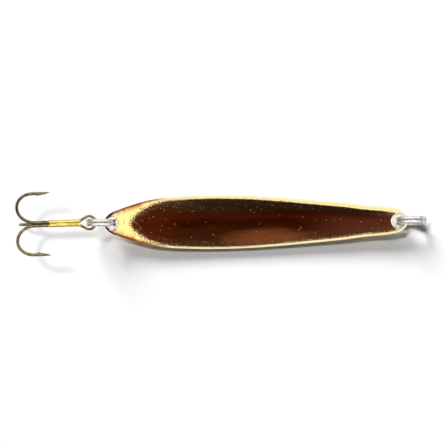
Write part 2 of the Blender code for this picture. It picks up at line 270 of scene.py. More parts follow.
def apply_boolean(piece, cutter, operation):
    """Joins or cuts with the cutter, applies it and removes the cutter."""
    active_only(piece)
    change = piece.modifiers.new(cutter.name, "BOOLEAN")
    change.operation = operation
    change.object = cutter
    change.solver = "EXACT"
    bpy.ops.object.modifier_apply(modifier=change.name)
    bpy.data.objects.remove(cutter, do_unlink=True)


def mirror_across_y(piece):
    active_only(piece)
    mirror = piece.modifiers.new("mirror", "MIRROR")
    mirror.use_axis = (False, True, False)
    mirror.use_clip = True
    mirror.merge_threshold = 1e-6
    bpy.ops.object.modifier_apply(modifier=mirror.name)


def wear(piece, material):
    piece.data.materials.clear()
    piece.data.materials.append(material)


def smooth_step(low, high, value):
    t = min(max((value - low) / (high - low), 0.0), 1.0)
    return t * t * (3.0 - 2.0 * t)


def smooth_through(points, x):
    """Cubic curve through the points, with the slope at each taken from its neighbours."""
    last = len(points) - 1
    i = 0
    while i < last - 1 and x > points[i + 1][0]:
        i += 1

    def slope(k):
        before, after = points[max(k - 1, 0)], points[min(k + 1, last)]
        return (after[1] - before[1]) / (after[0] - before[0])

    (x0, y0), (x1, y1) = points[i], points[i + 1]
    span = x1 - x0
    t = (x - x0) / span
    rise = y0 * (1.0 + 2.0 * t) * (1.0 - t) ** 2 + y1 * t * t * (3.0 - 2.0 * t)
    return rise + span * (slope(i) * t * (1.0 - t) ** 2 - slope(i + 1) * t * t * (1.0 - t))


# ---- material helpers


def new_finish(name, colour, roughness, metallic=1.0):
    """A material and its node tree, with the values that are the same all over set."""
    finish = bpy.data.materials.new(name)
    finish.use_nodes = True
    finish.diffuse_color = colour
    shader = finish.node_tree.nodes["Principled BSDF"]
    shader.inputs["Base Color"].default_value = colour
    shader.inputs["Roughness"].default_value = roughness
    shader.inputs["Metallic"].default_value = metallic
    return finish, finish.node_tree, shader


def add_node(tree, kind, sockets=None, **settings):
    """A node with its settings; a socket takes a value, or a link from another socket."""
    made = tree.nodes.new(kind)
    for key, value in settings.items():
        setattr(made, key, value)
    for key, value in (sockets or {}).items():
        if isinstance(value, bpy.types.NodeSocket):
            tree.links.new(value, made.inputs[key])
        else:
            made.inputs[key].default_value = value
    return made


def object_place(tree, stretch=(1.0, 1.0, 1.0)):
    """Object coordinates in millimetres, squeezed or stretched along each axis."""
    coordinates = add_node(tree, "ShaderNodeTexCoord")
    scale = tuple(1.0 / (MM * along) for along in stretch)
    mapping = add_node(
        tree, "ShaderNodeMapping", {"Vector": coordinates.outputs["Object"], "Scale": scale}
    )
    return mapping.outputs["Vector"]


def noise(tree, place, scale, detail=3.0, roughness=0.55):
    sockets = {"Vector": place, "Scale": scale, "Detail": detail, "Roughness": roughness}
    return add_node(tree, "ShaderNodeTexNoise", sockets).outputs["Fac"]


def attribute(tree, name):
    return add_node(tree, "ShaderNodeAttribute", attribute_name=name).outputs["Fac"]


def split_axes(tree, place):
    """The X, Y and Z sockets of a place."""
    return add_node(tree, "ShaderNodeSeparateXYZ", {"Vector": place}).outputs


def math_node(tree, operation, first, second=0.0):
    return add_node(tree, "ShaderNodeMath", {0: first, 1: second}, operation=operation).outputs[0]


def plus(tree, first, second):
    return math_node(tree, "ADD", first, second)


def minus(tree, first, second):
    return math_node(tree, "SUBTRACT", first, second)


def times(tree, first, second):
    return math_node(tree, "MULTIPLY", first, second)


def remap(tree, value, low, high, to_low=0.0, to_high=1.0):
    """Value from low..high, turned into to_low..to_high and held inside it."""
    sockets = {"Value": value, "From Min": low, "From Max": high}
    sockets.update({"To Min": to_low, "To Max": to_high})
    return add_node(tree, "ShaderNodeMapRange", sockets, interpolation_type="SMOOTHSTEP").outputs[0]


def vary(tree, cloud, low, high):
    """Noise turned into low..high; most of it lies between 0.3 and 0.7."""
    return remap(tree, cloud, 0.3, 0.7, low, high)


def remap_evenly(tree, value, low, high):
    """Value from low..high, turned into 0..1 in even steps and held inside it."""
    sockets = {"Value": value, "From Min": low, "From Max": high}
    return add_node(tree, "ShaderNodeMapRange", sockets).outputs[0]


def mix(tree, share, first, second, blend="MIX"):
    sockets = {0: share, 6: first, 7: second}
    return add_node(
        tree, "ShaderNodeMix", sockets, data_type="RGBA", blend_type=blend
    ).outputs[2]


def ramp(tree, value, stops):
    """Colour ramp through (position, grey or colour) stops."""
    made = add_node(tree, "ShaderNodeValToRGB", {"Fac": value})
    elements = made.color_ramp.elements
    while len(elements) < len(stops):
        elements.new(0.5)
    for element, (position, colour) in zip(elements, stops):
        element.position = position
        grey = (colour, colour, colour, 1.0)
        element.color = colour if isinstance(colour, tuple) else grey
    return made.outputs["Color"]


def bump(tree, height, strength, distance_mm, normal=None):
    sockets = {"Height": height, "Strength": strength, "Distance": distance_mm * MM}
    if normal is not None:
        sockets["Normal"] = normal
    return add_node(tree, "ShaderNodeBump", sockets).outputs["Normal"]


def paint_edge_shade(tree, colour, most, dark):
    """Painted shade: colour mixed with a dark one where a surface turns away from the eye, standing
    in for dark surroundings reflected at its edges.
    """
    facing = add_node(tree, "ShaderNodeLayerWeight", {"Blend": 0.5}).outputs["Facing"]
    return mix(tree, remap(tree, facing, 0.35, 0.9, 0.0, most), colour, dark)


def connect(tree, shader, colour, roughness, normal):
    for name, value in (("Base Color", colour), ("Roughness", roughness), ("Normal", normal)):
        tree.links.new(value, shader.inputs[name])


# ---- blade shape


def fullness_points():
    """How full the outline is against s * (L - s), which makes both ends come out round."""
    points = [(0.0, 2.0 * TAIL_NOSE_RADIUS / BLADE_LENGTH)]
    for station, half in HALF_WIDTHS:
        points.append((station, half * half / (station * (BLADE_LENGTH - station))))
    points.append((BLADE_LENGTH, 2.0 * HEAD_NOSE_RADIUS / BLADE_LENGTH))
    return points


FULLNESS = fullness_points()


def half_width_square(station):
    station = min(max(station, 0.0), BLADE_LENGTH)
    return smooth_through(FULLNESS, station) * station * (BLADE_LENGTH - station)


def half_width(station):
    return math.sqrt(max(half_width_square(station), 0.0))


def outline_lean(station):
    """Half width times the outline's slope, which stays finite at both noses."""
    low, high = max(station - 0.02, 0.0), min(station + 0.02, BLADE_LENGTH)
    return (half_width_square(high) - half_width_square(low)) / (high - low) / 2.0


def edge_width(station):
    wider = smooth_step(2.0, BOWL_FULL, station)
    return EDGE_WIDTH_AT_TAIL + (EDGE_WIDTH - EDGE_WIDTH_AT_TAIL) * wider


def crest_half_width(station):
    """Half width inside the slanted edge face, measured straight across the blade."""
    wide = max(half_width(station), 0.01)
    lean = outline_lean(station)
    across = edge_width(station) * math.sqrt(1.0 + (lean / wide) ** 2)
    return max(wide - across, 0.3 * wide)


def crest_width(station):
    """Width of the flat crest between the bowl and the slanted edge face."""
    return CREST + (CREST_AT_HEAD - CREST) * smooth_step(35.0, 68.0, station)


def bowl_square(station):
    """Square of the bowl's half width; below zero past either end of the bowl."""
    tail = min((station - BOWL_TAIL) / (BOWL_FULL - BOWL_TAIL), 1.0)
    head = min((BOWL_HEAD - station) / BOWL_HEAD_ROUND, 1.0)
    full = (crest_half_width(station) - crest_width(station)) ** 2
    tail_share = 1.0 - (1.0 - tail) ** BOWL_ROUNDING
    head_share = 1.0 - (1.0 - head) ** BOWL_ROUNDING
    return full * min(tail_share, 1.0) * min(head_share, 1.0)


def bowl_half_width(station):
    return math.sqrt(max(bowl_square(station), 0.0))


def bowl_depth(station):
    """Depth of the bowl on the centre line, shallow at both ends."""
    run_in = smooth_step(BOWL_TAIL - 3.0, BOWL_TAIL + 28.0, station)
    run_out = 1.0 - smooth_step(BOWL_HEAD - 10.0, BOWL_HEAD + 1.0, station)
    slope = BOWL_DEPTH / crest_half_width(LOW_STATION)
    return slope * crest_half_width(station) * run_in * run_out


def land_height(station):
    """Height of the blade's flat border, which rises towards both ends."""
    middle = PLATE + BOWL_DEPTH
    if station < LOW_STATION:
        return middle + TAIL_RISE * ((LOW_STATION - station) / LOW_STATION) ** 2
    along = (station - LOW_STATION) / (BLADE_LENGTH - LOW_STATION)
    return middle + HEAD_RISE * along**2


def land_slope(station):
    return land_height(station + 0.5) - land_height(station - 0.5)


def bowl_drop(station, y):
    """How far the upper face lies below the border's height at a point."""
    bowl = bowl_half_width(station)
    if abs(y) >= bowl:
        return 0.0
    return bowl_depth(station) * (1.0 - (y / bowl) ** 2)


def back_drop(station, y):
    """How far the lower face lies below the border's height at a point."""
    wide = max(half_width(station) - EDGE_DRAFT, 0.01)
    share = min((y / wide) ** 2, 1.0)
    return PLATE + bowl_depth(station) * (1.0 - share)


class Row:
    """A line of the blade's surface, square to the outline, from the outline inwards."""

    def __init__(self, station):
        self.station = station
        self.wide = half_width(station)
        self.lean = outline_lean(station)
        self.length = math.hypot(self.wide, self.lean)
        self.edge = min(edge_width(station), 0.6 * self.length)
        self.crease = self.find_crease()

    def place(self, inwards):
        """Station and sideways place of the point this far in from the outline."""
        share = inwards / self.length
        return self.station + share * self.lean, self.wide * (1.0 - share)

    def find_crease(self):
        """How far in the bowl starts; part of the row is kept for the bowl's columns."""
        low, high = self.edge + 0.5 * CREST, self.edge + 0.8 * (self.length - self.edge)
        for _ in range(24):
            middle = (low + high) / 2.0
            station, y = self.place(middle)
            if y * y < bowl_square(station):
                high = middle
            else:
                low = middle
        return high


def fillet(before, corner, after, steps):
    """Points of a soft corner from before to after, drawn towards the corner."""
    points = []
    for i in range(steps + 1):
        t = i / steps
        mixed = before * (1.0 - t) ** 2 + corner * 2.0 * t * (1.0 - t) + after * t * t
        points.append(mixed)
    return points


def towards(start, end, reach):
    """The point this far from start on the way to end."""
    way = end - start
    return start + way * min(reach / max(way.length, 1e-6), 0.5)


def run(start, end, steps):
    """Evenly spaced points after start, up to and with end."""
    return [start.lerp(end, (i + 1) / steps) for i in range(steps)]


def row_points(row):
    """Points (inwards, drop) of one row, from the bowl's middle over the edge to the back."""
    inner = min(row.crease + 0.18, 0.5 * (row.crease + row.length))
    crease = Vector((row.crease, 0.0))
    crest = Vector((row.edge, 0.0))
    rim_drop = EDGE_DROP * row.edge / EDGE_WIDTH
    rim = Vector((0.0, rim_drop))
    heel = Vector((min(EDGE_DRAFT, 0.4 * row.length), PLATE))
    station, y = row.place(inner)
    bowl_start = Vector((inner, bowl_drop(station, y)))
    points = []
    for i in range(BOWL_COLUMNS):
        inwards = row.length + (inner - row.length) * i / BOWL_COLUMNS
        points.append(Vector((inwards, bowl_drop(*row.place(inwards)))))
    ridge = towards(crease, crest, 0.15)
    points += fillet(bowl_start, crease, ridge, 3)
    before_crest = towards(crest, crease, 0.15)
    points += run(ridge, before_crest, 4)
    points += fillet(before_crest, crest, towards(crest, rim, 0.15), 3)[1:]
    points += run(points[-1], towards(rim, crest, 0.14), 3)
    points += fillet(points[-1], rim, towards(rim, heel, 0.14), 3)[1:]
    after_heel = heel + Vector((0.25, 0.0))
    points += fillet(towards(heel, rim, 0.2), heel, after_heel, 4)
    for i in range(1, BACK_COLUMNS + 1):
        inwards = after_heel.x + (row.length - after_heel.x) * i / BACK_COLUMNS
        points.append(Vector((inwards, back_drop(*row.place(inwards)))))
    return points


def blade_half():
    """The half of the blade with y above zero, shaped from one grid."""
    spread = [row_points(Row(BLADE_LENGTH / 2.0))]
    columns = len(spread[0])
    start_fresh()
    bpy.ops.mesh.primitive_grid_add(
        x_subdivisions=columns - 1, y_subdivisions=BLADE_ROWS, size=2.0
    )
    blade = name_new("gilt_blade")
    rows = []
    for i in range(BLADE_ROWS + 1):
        station = BLADE_LENGTH * (1.0 - math.cos(math.pi * i / BLADE_ROWS)) / 2.0
        row = Row(station)
        rows.append((row, row_points(row)))
    for vertex in blade.data.vertices:
        column = round((vertex.co.x + 1.0) / 2.0 * (columns - 1))
        row, points = rows[round((vertex.co.y + 1.0) / 2.0 * BLADE_ROWS)]
        inwards, drop = points[column]
        station, y = row.place(inwards)
        on_spine = column in (0, columns - 1) or row.wide < 0.001
        z = land_height(station) - drop
        vertex.co = Vector((TAIL_X + station, 0.0 if on_spine else y, z)) * MM
    return blade


def drill_hole(blade, hole):
    """Drills a hole square to the plate, and countersinks it at 45 degrees."""
    radius, sink = hole["radius"] * MM, hole["countersink"] * MM
    tilt = -math.atan(land_slope(hole["station"]))
    place = Vector((TAIL_X + hole["station"], 0.0, land_height(hole["station"]))) * MM
    for low, high, depth in (
        (radius, radius, DRILL_LENGTH * MM),
        (radius - sink, radius + 3.0 * sink, 4.0 * sink),
    ):
        start_fresh()
        bpy.ops.mesh.primitive_cone_add(
            vertices=72, radius1=low, radius2=high, depth=depth,
            location=place, rotation=(0.0, tilt, 0.0),
        )
        apply_boolean(blade, name_new("drill"), "DIFFERENCE")


def mark_bowl(blade):
    """Stores how far in mm each point is inside the bowl and the outline, and marks hole walls."""
    inside_bowl = blade.data.attributes.new("inside_bowl", "FLOAT", "POINT")
    inside_edge = blade.data.attributes.new("inside_edge", "FLOAT", "POINT")
    for vertex in blade.data.vertices:
        station = vertex.co.x / MM - TAIL_X
        y, z = vertex.co.y / MM, vertex.co.z / MM
        station = min(max(station, 0.0), BLADE_LENGTH)
        square = half_width_square(station) - y * y
        edge = square / (2.0 * math.hypot(outline_lean(station), y) + 1e-6)
        inside_edge.data[vertex.index].value = edge
        middle_drop = (bowl_drop(station, y) + back_drop(station, y)) / 2.0
        if z < land_height(station) - middle_drop:
            inside_bowl.data[vertex.index].value = LEAST_INSIDE
            continue
        here = bowl_square(station)
        slope = (bowl_square(station + 0.05) - bowl_square(station - 0.05)) / 0.1
        value = (here - y * y) / (math.hypot(slope, 2.0 * y) + 1e-6)
        inside_bowl.data[vertex.index].value = min(max(value, LEAST_INSIDE), MOST_INSIDE)
    in_hole = blade.data.attributes.new("in_hole", "FLOAT", "FACE")
    for hole in (TAIL_HOLE, HEAD_HOLE):
        axis = Vector((land_slope(hole["station"]), 0.0, -1.0)).normalized()
        centre = Vector((TAIL_X + hole["station"], 0.0, land_height(hole["station"])))
        reach = hole["radius"] + 0.9 * hole["countersink"]
        for face in blade.data.polygons:
            away = face.center / MM - centre
            if (away - away.project(axis)).length < reach:
                in_hole.data[face.index].value = 1.0


# Lacquer across the bowl, in bands that are partly painted reflection: y in mm, then its colour.
LACQUER_AND_REFLECTION_BANDS = (
    (-9.0, (0.050, 0.018, 0.006, 1.0)),
    (-6.0, (0.034, 0.010, 0.003, 1.0)),
    (-4.0, (0.033, 0.0078, 0.002, 1.0)),
    (-2.2, (0.034, 0.0070, 0.0014, 1.0)),
    (-0.6, (0.020, 0.0030, 0.0002, 1.0)),
    (0.5, (0.028, 0.0038, 0.0003, 1.0)),
    (1.6, (0.058, 0.0066, 0.0007, 1.0)),
    (2.7, (0.052, 0.0095, 0.0022, 1.0)),
    (4.0, (0.062, 0.0230, 0.0090, 1.0)),
    (9.0, (0.110, 0.052, 0.026, 1.0)),
)
BAND_REACH = 9.0
# The copper patch, a painted reflection: axis, then its middle and its reach along that axis in mm.
REFLECTION_PATCH = (("X", 13.5, 17.0), ("Y", -5.0, 3.6))
GRAIN_METAL = (0.34, 0.19, 0.11, 1.0)
PIT_METAL = (0.9, 0.62, 0.40, 1.0)
PINK_METAL = (0.80, 0.50, 0.38, 1.0)
# Near-white bare metal, used as a painted highlight round the holes.
BARE_METAL_HIGHLIGHT = (0.95, 0.92, 0.88, 1.0)
DARK_SPOT = (0.07, 0.02, 0.012, 1.0)
PITS_PER_MM = 1.9
HIGHLIGHT_RING_RADIUS = 2.2
STAIN_RADIUS = 3.3


def by_station(tree, x, low, high, to_low, to_high):
    """A value that goes from to_low to to_high between two stations of the blade."""
    return remap(tree, x, TAIL_X + low, TAIL_X + high, to_low, to_high)


def off_station(tree, parts, station):
    """How far a place is past a point on the centre line, and its distance from it in plan."""
    x = minus(tree, parts["X"], TAIL_X + station)
    squares = plus(tree, times(tree, x, x), times(tree, parts["Y"], parts["Y"]))
    return x, math_node(tree, "SQRT", squares)


def bowl_colour(tree, place, inside, settings):
    """Lacquer in soft lengthwise bands that are partly painted reflection, plainer toward both
    ends, with a copper patch of painted reflection, grains and pits.
    """
    streaks = noise(tree, object_place(tree, stretch=(9.0, 1.0, 1.0)), 0.7, 4.0, 0.6)
    parts = split_axes(tree, place)
    across = plus(tree, parts["Y"], vary(tree, streaks, -0.7, 0.7))
    # The bands are lacquer colour and painted reflection of the surroundings together.
    stops = [((y + BAND_REACH) / (2.0 * BAND_REACH), shade) for y, shade in LACQUER_AND_REFLECTION_BANDS]
    lacquer = ramp(tree, remap_evenly(tree, across, -BAND_REACH, BAND_REACH), stops)
    to_tail = by_station(tree, parts["X"], 15.0, 24.0, 0.8, 0.0)
    lacquer = mix(tree, to_tail, lacquer, settings.lacquer)
    to_head = by_station(tree, parts["X"], 54.0, 76.0, 0.0, 0.85)
    lacquer = mix(tree, to_head, lacquer, settings.thin_lacquer)
    # Copper patch: painted reflection.
    lacquer = mix(tree, reflection_patch(tree, parts, streaks), lacquer, settings.copper)

    over = remap(tree, parts["Y"], -1.0, 2.5, 0.3, 0.85)
    grainy = times(tree, remap(tree, inside, 0.2, 2.9, 1.0, 0.0), over)
    grains = remap(tree, noise(tree, place, 3.2, 2.0, 0.7), 0.50, 0.66)
    lacquer = mix(tree, times(tree, grains, grainy), lacquer, GRAIN_METAL)
    lacquer = mix(tree, pit_mask(tree, place, inside), lacquer, PIT_METAL)
    # Near-white ring round the head hole: painted highlight.
    return mix(tree, head_hole_highlight_ring(tree, parts, inside), lacquer, BARE_METAL_HIGHLIGHT), streaks


def head_hole_highlight_ring(tree, parts, inside):
    """The near-white ring round the head hole: a painted highlight for its lit countersink edge."""
    _, far = off_station(tree, parts, HEAD_HOLE["station"] - 0.1)
    near = remap(tree, far, HIGHLIGHT_RING_RADIUS, HIGHLIGHT_RING_RADIUS + 0.1, 1.0, 0.0)
    upper_face = math_node(tree, "GREATER_THAN", inside, LEAST_INSIDE + 0.5)
    return times(tree, near, upper_face)


def reflection_patch(tree, parts, streaks):
    """A soft lengthwise copper patch beside the middle of the bowl: a painted reflection."""
    along, across = [
        math_node(tree, "DIVIDE", minus(tree, parts[axis], middle), reach)
        for axis, middle, reach in REFLECTION_PATCH
    ]
    far = plus(tree, times(tree, along, along), times(tree, across, across))
    far = plus(tree, far, vary(tree, streaks, -0.12, 0.12))
    return remap(tree, far, -0.1, 1.1, 0.78, 0.0)


def pit_mask(tree, place, inside):
    """Small pits where the metal shows, more of them near the border and on the upper side."""
    sockets = {"Vector": place, "Scale": PITS_PER_MM, "Randomness": 1.0}
    cells = add_node(tree, "ShaderNodeTexVoronoi", sockets).outputs
    choice = add_node(tree, "ShaderNodeSeparateColor", {"Color": cells["Color"]}).outputs[0]
    near_border = remap(tree, inside, 0.3, 3.0, 0.3, 0.06)
    share = plus(tree, near_border, remap(tree, split_axes(tree, place)["Y"], 2.5, 4.0, 0.0, 0.24))
    small = remap(tree, cells["Distance"], 0.08, 0.25, 1.0, 0.0)
    return times(tree, small, math_node(tree, "LESS_THAN", choice, share))


def border_colour(tree, place, settings):
    """Gilt with a painted highlight on the slanted edge face, orange and red-brown along the outer
    edge near the tail, a thin painted shade line round the rest of the outline, blotches round the
    tail hole and a painted highlight in the holes.
    """
    edge = attribute(tree, "inside_edge")
    parts = split_axes(tree, place)
    at_tail = by_station(tree, parts["X"], 5.0, 20.0, 1.0, 0.0)
    uneven = vary(tree, noise(tree, place, 0.6, 5.0, 0.65), 0.9, 2.7)
    reach = times(tree, at_tail, uneven)
    glow = math_node(tree, "DIVIDE", edge, plus(tree, reach, 0.1))
    # Painted highlight: lighter gilt on the slanted edge face.
    rim = remap(tree, edge, 0.75, 1.0, 0.85, 0.0)
    gilt = mix(tree, rim, settings.gilt, settings.rim_highlight_gilt)
    colour = mix(tree, remap(tree, glow, 0.5, 1.6, 0.75, 0.0), gilt, settings.blush)
    # Past the tail the reach is nil, so these tints leave a thin orange and dark line round the
    # whole outline: painted shade on the outer corner.
    colour = mix(tree, remap(tree, glow, 0.2, 0.75, 0.95, 0.0), colour, settings.edge_tint_and_shade)
    arc = remap(tree, behind_hole(tree, parts), 0.0, 0.28, 0.85, 0.0)
    colour = mix(tree, arc, colour, settings.blush)
    at_nose = by_station(tree, parts["X"], 2.4, 5.0, 1.0, 0.0)
    mottle = remap(tree, noise(tree, place, 0.9, 3.0, 0.6), 0.4, 0.52)
    colour = mix(tree, times(tree, at_nose, mottle), colour, PINK_METAL)
    spots = noise(tree, object_place(tree, (1.0, 1.0, 0.9)), 1.3, 3.0, 0.7)
    near_edge = remap(tree, edge, 0.1, 1.3, 0.22, 0.0)
    dark = remap(tree, plus(tree, spots, near_edge), 0.54, 0.60)
    colour = mix(tree, times(tree, at_nose, dark), colour, DARK_SPOT)
    # Hole walls and countersinks in near-white bare metal: a painted highlight.
    return mix(tree, attribute(tree, "in_hole"), colour, BARE_METAL_HIGHLIGHT)


def behind_hole(tree, parts):
    """Grows from zero in mm away from a small stain that curls round the tail hole."""
    x, far = off_station(tree, parts, TAIL_HOLE["station"])
    off_arc = math_node(tree, "ABSOLUTE", minus(tree, far, STAIN_RADIUS))
    aside = math_node(tree, "ABSOLUTE", minus(tree, parts["Y"], 0.2))
    outer_side = times(tree, math_node(tree, "LESS_THAN", x, 0.0), 9.0)
    ends = remap(tree, aside, 0.5, 1.4, 0.0, 1.0)
    return plus(tree, off_arc, plus(tree, ends, outer_side))


def gilt_finish(settings):
    """Gilt border and back with painted highlights on the rim and round the holes, and a dark
    copper lacquer in the bowl that carries painted reflections.
    """
    finish, tree, shader = new_finish("gilt_brass_finish", settings.gilt, settings.border_gloss)
    place = object_place(tree)
    parts = split_axes(tree, place)
    inside = attribute(tree, "inside_bowl")
    at_tail = by_station(tree, parts["X"], 8.0, 28.0, 4.4, 1.6)
    ragged = times(tree, minus(tree, noise(tree, place, 3.7, 1.0, 0.6), 0.5), at_tail)
    over_crest = remap(tree, parts["Y"], -2.0, 1.0, 0.34, 0.0)
    border = plus(tree, plus(tree, inside, ragged), over_crest)
    in_bowl = remap(tree, border, -0.04, 0.04)

    lacquer, streaks = bowl_colour(tree, place, inside, settings)
    colour = mix(tree, in_bowl, border_colour(tree, place, settings), lacquer)

    scratches = noise(tree, object_place(tree, stretch=(14.0, 0.35, 0.35)), 0.9, 4.0, 0.7)
    border_gloss, bowl_gloss = settings.border_gloss, settings.bowl_gloss
    gloss = vary(tree, scratches, border_gloss - 0.04, border_gloss + 0.08)
    bowl_gloss = vary(tree, streaks, bowl_gloss - 0.04, bowl_gloss + 0.1)
    sockets = {0: in_bowl, 2: gloss, 3: bowl_gloss}
    both = add_node(tree, "ShaderNodeMix", sockets, data_type="FLOAT").outputs[0]
    ripple = bump(tree, noise(tree, place, 0.8, 2.0, 0.5), 0.25, 0.06)
    in_pits = times(tree, pit_mask(tree, place, inside), in_bowl)
    dents = bump(tree, in_pits, 0.5, -0.06, ripple)
    connect(tree, shader, colour, both, dents)
    return finish


# ---- split rings


HEAD_RING_LEAN_DEG = 5.0


def ring_section(settings):
    """The ring wire's section on the first turn, left selected in edit mode."""
    ring_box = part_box("head_split_ring")
    outer = (ring_box[1].z - ring_box[0].z) / 2.0
    middle = outer - settings.radial / 2.0
    first_turn_y = (settings.axial + settings.turn_gap) / 2.0
    start_fresh()
    bpy.ops.mesh.primitive_plane_add(size=1.0, location=(middle, first_turn_y, 0.0))
    bpy.context.object.scale = (settings.radial, settings.axial, 1.0)
    ring = name_new("split_ring")
    edit_all(ring)
    bpy.ops.mesh.bevel(offset=settings.rounding, segments=5, affect="VERTICES")
    bpy.ops.mesh.select_all(action="SELECT")
    bpy.ops.mesh.delete(type="ONLY_FACE")
    bpy.ops.mesh.select_all(action="SELECT")
    return ring


def spin_selected(degrees, steps, centre=(0.0, 0.0, 0.0), axis=(0.0, 1.0, 0.0)):
    """Sweeps the selected loop about an axis; the operator counts its angle backwards."""
    bpy.ops.mesh.spin(steps=steps, angle=-math.radians(degrees), center=centre, axis=axis)


def wind_ring(settings):
    """A wire wound in two flat turns that a short step joins, with its middle at zero."""
    step_deg, end_gap_deg, step_count = 36.0, 4.0, 12
    flat_deg = 360.0 - step_deg - end_gap_deg
    ring = ring_section(settings)
    spin_selected(flat_deg, 80)
    shift = settings.axial + settings.turn_gap
    for i in range(step_count):
        ease = smooth_step(0.0, 1.0, (i + 1) / step_count) - smooth_step(0.0, 1.0, i / step_count)
        spin_selected(step_deg / step_count, 1)
        bpy.ops.transform.translate(value=(0.0, -shift * ease, 0.0))
    spin_selected(flat_deg, 80)
    select_open_edges()
    bpy.ops.mesh.fill_holes(sides=0)
    select_faces(ring, lambda face: len(face.verts) > 6)
    bpy.ops.mesh.bevel(offset=0.1 * MM, segments=3, affect="EDGES")
    close_and_turn_out(ring)
    shade(ring, 50.0)
    return ring, step_deg / 2.0 + end_gap_deg


def box_middle(node):
    low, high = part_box(node)
    return (low + high) / 2.0


def nickel_finish(settings):
    """Bright nickel plate with light polishing marks and dull clouds, and painted shade at the
    wire's edges and between the turns.
    """
    finish, tree, shader = new_finish("nickel_steel_finish", settings.nickel, 0.16)
    place = object_place(tree)
    cloud = noise(tree, place, 1.3, 4.0, 0.6)
    colour = mix(tree, remap(tree, cloud, 0.4, 0.75), settings.nickel, (0.64, 0.61, 0.54, 1.0))
    # Painted shade on the wire's edges and in the groove between the turns.
    colour = paint_edge_shade(tree, colour, 0.8, (0.16, 0.145, 0.12, 1.0))
    gloss = vary(tree, noise(tree, place, 5.0, 3.0, 0.6), 0.1, 0.26)
    marks = noise(tree, object_place(tree, stretch=(1.0, 0.15, 1.0)), 2.2, 3.0, 0.6)
    connect(tree, shader, colour, gloss, bump(tree, marks, 0.2, 0.03))
    return finish


# ---- treble hook


def hook_direction(angle_deg):
    """Unit vector away from the shank's axis in the plane of one hook."""
    angle = math.radians(angle_deg)
    return Vector((0.0, math.cos(angle), math.sin(angle)))


def start_wire(name, centre, heading, radius, sides=20):
    """A ring of points square to the wire's heading, selected in edit mode."""
    start_fresh()
    bpy.ops.mesh.primitive_circle_add(
        vertices=sides,
        radius=radius,
        location=centre,
        rotation=heading.to_track_quat("Z", "Y").to_euler(),
    )
    wire = name_new(name)
    edit_all(wire)
    return wire


def wire_end(wire):
    """Middle of the wire's open end, which is what is selected."""
    shape = bmesh.from_edit_mesh(wire.data)
    chosen = [vertex.co for vertex in shape.verts if vertex.select]
    return sum(chosen, Vector()) / len(chosen)


def draw_wire(wire, run_by, scale=1.0):
    """Draws the wire's end out straight, and makes it thicker or thinner by the scale."""
    bpy.ops.mesh.extrude_region_move(TRANSFORM_OT_translate={"value": run_by})
    if scale != 1.0:
        bpy.ops.transform.resize(value=(scale,) * 3, center_override=wire_end(wire))


def draw_hook(wire, angle_deg, settings):
    """Draws the shank, the bend and the point of one hook from the wire's end."""
    outward = hook_direction(angle_deg)
    end = wire_end(wire)
    draw_wire(wire, Vector((-BEND_U * MM - end.x, 0.0, 0.0)))
    heading = Vector((-1.0, 0.0, 0.0))
    spin_selected(
        180.0,
        40,
        centre=wire_end(wire) + outward * BEND_RADIUS * MM,
        axis=heading.cross(outward),
    )
    arm = (BEND_U - TIP_U) * MM
    full = settings.wire / 2.0
    thick = full
    for i in range(POINT_STEPS):
        tapered = max(((i + 1) / POINT_STEPS - POINT_FROM) / (1.0 - POINT_FROM), 0.0)
        target = full * (1.0 - POINT_FINENESS * tapered**POINT_CURVE)
        outwards = outward * (thick - target) * POINT_SET_OUT
        draw_wire(wire, Vector((arm / POINT_STEPS, 0.0, 0.0)) + outwards, target / thick)
        thick = target
    bpy.ops.mesh.edge_face_add()


def cap_open_end():
    select_open_edges()
    bpy.ops.mesh.edge_face_add()


def raise_barb(wire, angle_deg, settings):
    """Raises a barb on the inner side of a hook's arm, pointing back to the bend."""
    outward = hook_direction(angle_deg)
    arm = (WIRE_FROM_AXIS + 2.0 * BEND_RADIUS) * MM
    back = Vector((-1.0, 0.0, 0.0))
    root = back * (BARB_U * MM - settings.barb_length) + outward * (arm + 0.05 * MM)
    tip = back * BARB_U * MM + outward * (arm - settings.wire / 2.0 - settings.barb_rise)
    start_fresh()
    bpy.ops.mesh.primitive_cone_add(
        vertices=16,
        radius1=0.36 * MM,
        radius2=0.025 * MM,
        depth=(tip - root).length,
        location=(root + tip) / 2.0,
        rotation=(tip - root).to_track_quat("Z", "Y").to_euler(),
    )
    apply_boolean(wire, name_new("barb"), "UNION")


def treble_place():
    """Where the treble's own axes lie in the frame: eye at zero, shank towards -X."""
    pivot = Vector(JOINTS["treble_swing"]["pos_m"])
    turn = Matrix.Rotation(math.radians(TREBLE_YAW_DEG), 4, "Z")
    return Matrix.Translation(pivot) @ turn @ Matrix.Translation((0.0, 0.0, -LEG_Z * MM))


